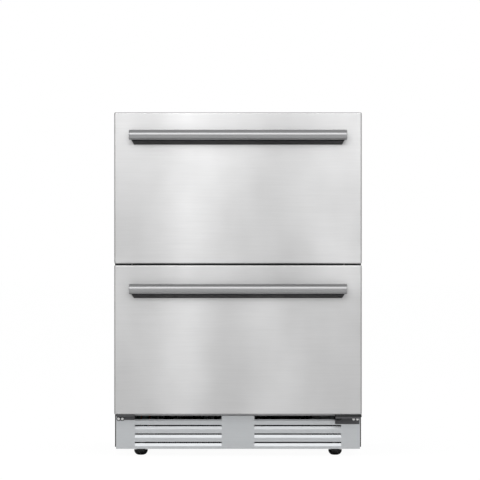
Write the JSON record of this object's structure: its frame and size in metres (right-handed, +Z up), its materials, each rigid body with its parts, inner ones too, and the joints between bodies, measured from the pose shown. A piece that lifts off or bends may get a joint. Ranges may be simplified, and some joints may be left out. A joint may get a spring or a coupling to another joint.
{
  "type": "under-counter drawer refrigerator",
  "caption": "Under-counter refrigerator with two stacked stainless drawers on telescopic slides, bar handles, a louvred kick plate and levelling feet.",
  "frame": {"origin": "on the floor under the middle of the outline", "axes": "+Z up, -Y towards the drawers' fronts, +X to the right seen from the front"},
  "size_m": [0.595, 0.615, 0.83],
  "materials": {
    "front_steel": "fine vertical brushing, satin",
    "handle_steel": "satin, brushed along the bar",
    "kick_steel": "satin louvred sheet",
    "cabinet_black": "satin black paint",
    "bracket_grey": "satin dark grey paint",
    "deck_grey": "satin grey paint",
    "bracket_black": "satin black paint",
    "zinc": "galvanised sheet",
    "slide_zinc": "bright zinc plating",
    "screw_zinc": "bright zinc plating",
    "foam": null,
    "liner_white": "smooth moulded liner",
    "bin_grey": "satin powder coat",
    "seal_black": "soft matt seal",
    "pad_black": "matt rubber",
    "foot_black": "matt moulding",
    "control_black": "satin moulding",
    "display_dark": "glossy window",
    "button_grey": "satin moulding",
    "lamp_white": "milky diffuser",
    "coil_black": "black dip coating",
    "coil_aluminium": "bare fins and tube",
    "fan_black": "matt moulding",
    "motor_grey": "satin grey paint",
    "compressor_black": "gloss black enamel",
    "pan_grey": "matt moulding",
    "copper": "drawn copper tube"
  },
  "bodies": {
    "cabinet": {"right_side_panel": "cabinet_black", "left_side_panel": "cabinet_black", "top_panel": "cabinet_black", "rear_panel": "zinc", "machine_deck": "deck_grey", "cabinet_insulation": "foam", "inner_liner": "liner_white", "mullion_rail": "cabinet_black", "base_pan": "zinc", "kick_plate": "kick_steel", "left_corner_bracket": "bracket_grey", "right_corner_bracket": "bracket_grey", "right_bracket_pad": "pad_black", "bracket_screws": "screw_zinc", "upper_slide_outer": "slide_zinc", "lower_slide_outer": "slide_zinc", "control_housing": "control_black", "control_display": "display_dark", "ceiling_lamp": "lamp_white", "condenser": "coil_black", "evaporator": "coil_aluminium", "condenser_fan_shroud": "fan_black", "condenser_fan_motor": "motor_grey", "evaporator_fan_motor": "motor_grey", "evaporator_cover": "liner_white", "compressor": "compressor_black", "compressor_grommets": "pad_black", "compressor_terminal_cover": "fan_black", "evaporation_pan": "pan_grey", "refrigerant_lines": "copper", "rear_service_cover": "zinc", "mains_inlet": "fan_black"},
    "upper_drawer": {"upper_front_skin": "front_steel", "upper_front_core": "foam", "upper_front_panel": "liner_white", "upper_gasket": "seal_black", "upper_handle_bar": "handle_steel", "upper_handle_bracket": "bracket_black", "upper_slide_inner": "slide_zinc", "upper_drawer_arms": "zinc", "upper_drawer_bin": "bin_grey"},
    "upper_slide_middle": {"upper_slide_middle": "slide_zinc"},
    "lower_drawer": {"lower_front_skin": "front_steel", "lower_front_core": "foam", "lower_front_panel": "liner_white", "lower_gasket": "seal_black", "lower_handle_bar": "handle_steel", "lower_handle_bracket": "bracket_black", "lower_slide_inner": "slide_zinc", "lower_drawer_arms": "zinc", "lower_drawer_bin": "bin_grey"},
    "lower_slide_middle": {"lower_slide_middle": "slide_zinc"},
    "condenser_fan_blades": {"condenser_fan_blades": "fan_black"},
    "evaporator_fan_blades": {"evaporator_fan_blades": "fan_black"},
    "colder_button": {"colder_button": "button_grey"},
    "warmer_button": {"warmer_button": "button_grey"},
    "front_left_foot": {"front_left_foot": "foot_black"},
    "front_right_foot": {"front_right_foot": "foot_black"},
    "rear_left_foot": {"rear_left_foot": "foot_black"},
    "rear_right_foot": {"rear_right_foot": "foot_black"}
  },
  "joints": [
    {"name": "upper_drawer_slide", "type": "slide", "parent": "cabinet", "child": "upper_drawer", "axis": [0, -1, 0], "range_m": [0, 0.38]},
    {"name": "upper_slide_middle_travel", "type": "slide", "parent": "cabinet", "child": "upper_slide_middle", "axis": [0, -1, 0], "range_m": [0, 0.19]},
    {"name": "lower_drawer_slide", "type": "slide", "parent": "cabinet", "child": "lower_drawer", "axis": [0, -1, 0], "range_m": [0, 0.38]},
    {"name": "lower_slide_middle_travel", "type": "slide", "parent": "cabinet", "child": "lower_slide_middle", "axis": [0, -1, 0], "range_m": [0, 0.19]},
    {"name": "condenser_fan_spin", "type": "hinge", "parent": "cabinet", "child": "condenser_fan_blades", "pos_m": [-0.115, 0.1365, 0.0915], "axis": [0, 1, 0], "continuous": true},
    {"name": "evaporator_fan_spin", "type": "hinge", "parent": "cabinet", "child": "evaporator_fan_blades", "pos_m": [0, 0.2195, 0.6775], "axis": [0, 1, 0], "continuous": true},
    {"name": "colder_press", "type": "slide", "parent": "cabinet", "child": "colder_button", "axis": [0, 1, 0], "range_m": [0, 0.0012], "stiffness_N_per_m": 400},
    {"name": "warmer_press", "type": "slide", "parent": "cabinet", "child": "warmer_button", "axis": [0, 1, 0], "range_m": [0, 0.0012], "stiffness_N_per_m": 400},
    {"name": "front_left_foot_screw_out", "type": "slide", "parent": "cabinet", "child": "front_left_foot", "axis": [0, 0, -1], "range_m": [0, 0.02]},
    {"name": "front_right_foot_screw_out", "type": "slide", "parent": "cabinet", "child": "front_right_foot", "axis": [0, 0, -1], "range_m": [0, 0.02]},
    {"name": "rear_left_foot_screw_out", "type": "slide", "parent": "cabinet", "child": "rear_left_foot", "axis": [0, 0, -1], "range_m": [0, 0.02]},
    {"name": "rear_right_foot_screw_out", "type": "slide", "parent": "cabinet", "child": "rear_right_foot", "axis": [0, 0, -1], "range_m": [0, 0.02]}
  ],
  "couplings": [
    {"joint": "upper_slide_middle_travel", "follows": "upper_drawer_slide", "ratio": 0.5},
    {"joint": "lower_slide_middle_travel", "follows": "lower_drawer_slide", "ratio": 0.5}
  ]
}
